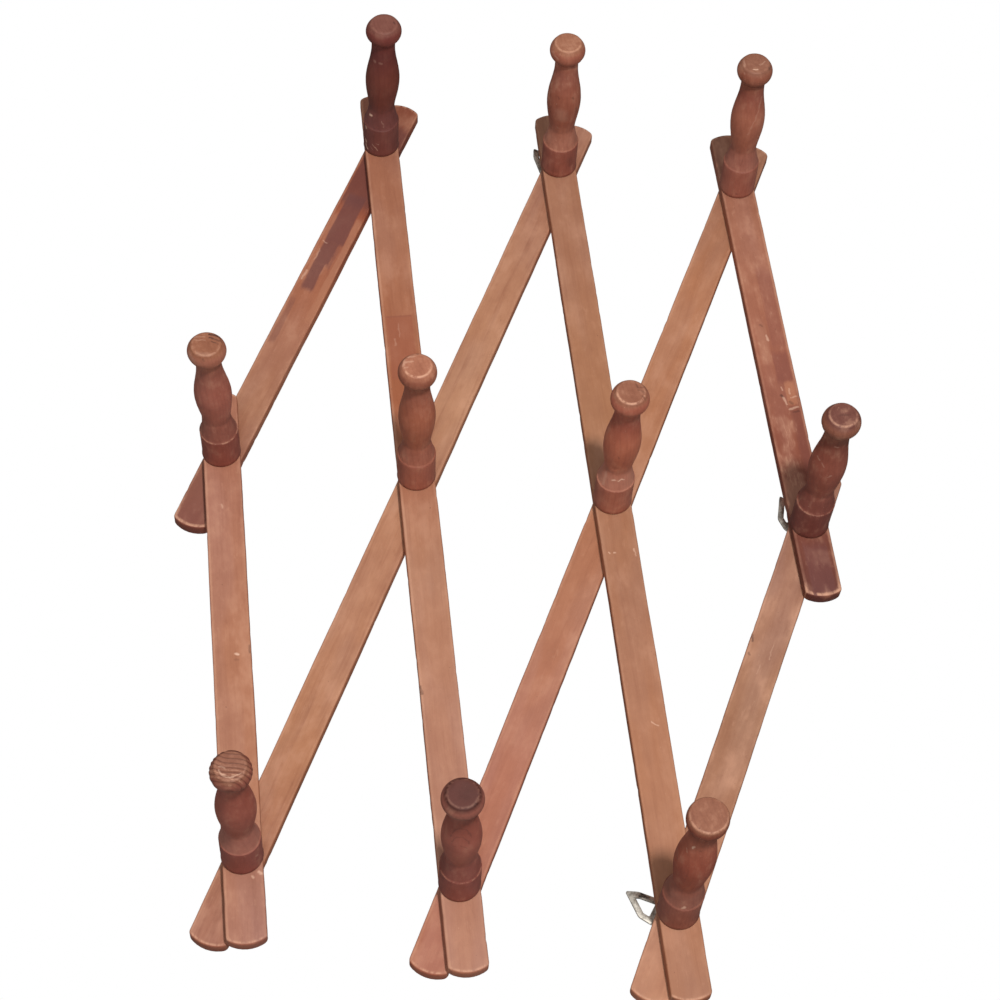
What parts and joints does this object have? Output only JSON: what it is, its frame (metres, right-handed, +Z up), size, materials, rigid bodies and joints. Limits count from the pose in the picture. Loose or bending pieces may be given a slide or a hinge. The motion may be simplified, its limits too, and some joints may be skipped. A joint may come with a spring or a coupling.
{
  "type": "expandable wall peg rack",
  "caption": "Accordion wall rack of flat wooden slats crossing as a scissor lattice, with a turned wooden peg on each crossing and steel hangers behind.",
  "frame": {"origin": "on the axis of the top middle peg, at the flat back of its screw's head, which is the wall plane", "axes": "+Z up, +Y into the wall, -Y out to the front, +X to the right along the rows of pegs as seen from the front"},
  "size_m": [0.3318, 0.1124, 0.5058],
  "materials": {
    "front_slat": "stained and worn, satin",
    "back_slat": "stained and worn, satin",
    "peg": "dark stained turning, satin",
    "steel": "dull stamped sheet",
    "zinc": "dull plated"
  },
  "bodies": {
    "top_pivot": {"peg_2": "peg", "screw_2": "zinc", "washer_2": "zinc"},
    "front_1": {"front_slat_1": "front_slat", "peg_4": "peg", "screw_4": "zinc", "washer_4": "zinc", "peg_8": "peg", "screw_8": "zinc", "washer_8": "zinc"},
    "front_2": {"front_slat_2": "front_slat", "peg_1": "peg", "screw_1": "zinc", "washer_1": "zinc", "peg_5": "peg", "screw_5": "zinc", "washer_5": "zinc", "peg_9": "peg", "screw_9": "zinc", "washer_9": "zinc"},
    "front_3": {"front_slat_3": "front_slat", "peg_6": "peg", "screw_6": "zinc", "washer_6": "zinc", "peg_10": "peg", "screw_10": "zinc", "washer_10": "zinc"},
    "front_4": {"front_slat_4": "front_slat", "peg_3": "peg", "screw_3": "zinc", "washer_3": "zinc", "peg_7": "peg", "screw_7": "zinc", "washer_7": "zinc"},
    "back_1": {"back_slat_1": "back_slat"},
    "back_2": {"back_slat_2": "back_slat"},
    "back_3": {"back_slat_3": "back_slat"},
    "back_4": {"back_slat_4": "back_slat"},
    "hanger_2": {"hanger_2": "steel"},
    "hanger_7": {"hanger_7": "steel"},
    "hanger_10": {"hanger_10": "steel"}
  },
  "joints": [
    {"name": "fold", "type": "hinge", "parent": "top_pivot", "child": "front_3", "pos_m": [0, -0.01, 0], "axis": [0, -1, 0], "range_deg": [-8, 72]},
    {"name": "pivot_2_back", "type": "hinge", "parent": "top_pivot", "child": "back_2", "pos_m": [0, -0.01, 0], "axis": [0, -1, 0], "range_deg": [-72, 8]},
    {"name": "pivot_5", "type": "hinge", "parent": "back_2", "child": "front_2", "pos_m": [-0.04929, -0.01, -0.21348], "axis": [0, -1, 0], "range_deg": [-16, 144]},
    {"name": "pivot_8", "type": "hinge", "parent": "back_2", "child": "front_1", "pos_m": [-0.09857, -0.01, -0.42697], "axis": [0, -1, 0], "range_deg": [-16, 144]},
    {"name": "pivot_6", "type": "hinge", "parent": "front_3", "child": "back_3", "pos_m": [0.04929, -0.01, -0.21348], "axis": [0, -1, 0], "range_deg": [-144, 16]},
    {"name": "pivot_10", "type": "hinge", "parent": "front_3", "child": "back_4", "pos_m": [0.09857, -0.01, -0.42697], "axis": [0, -1, 0], "range_deg": [-144, 16]},
    {"name": "pivot_3", "type": "hinge", "parent": "back_3", "child": "front_4", "pos_m": [0.09857, -0.01, 0], "axis": [0, -1, 0], "range_deg": [-16, 144]},
    {"name": "pivot_1", "type": "hinge", "parent": "front_2", "child": "back_1", "pos_m": [-0.09857, -0.01, 0], "axis": [0, -1, 0], "range_deg": [-144, 16]},
    {"name": "hanger_2_swivel", "type": "hinge", "parent": "top_pivot", "child": "hanger_2", "pos_m": [0, -0.0048, 0], "axis": [0, -1, 0], "continuous": true},
    {"name": "hanger_7_swivel", "type": "hinge", "parent": "front_4", "child": "hanger_7", "pos_m": [0.14786, -0.0048, -0.21348], "axis": [0, -1, 0], "continuous": true},
    {"name": "hanger_10_swivel", "type": "hinge", "parent": "front_3", "child": "hanger_10", "pos_m": [0.09857, -0.0048, -0.42697], "axis": [0, -1, 0], "continuous": true}
  ],
  "couplings": [
    {"joint": "pivot_2_back", "follows": "fold", "ratio": -1},
    {"joint": "pivot_5", "follows": "fold", "ratio": 2},
    {"joint": "pivot_8", "follows": "fold", "ratio": 2},
    {"joint": "pivot_6", "follows": "fold", "ratio": -2},
    {"joint": "pivot_10", "follows": "fold", "ratio": -2},
    {"joint": "pivot_3", "follows": "fold", "ratio": 2},
    {"joint": "pivot_1", "follows": "fold", "ratio": -2}
  ]
}
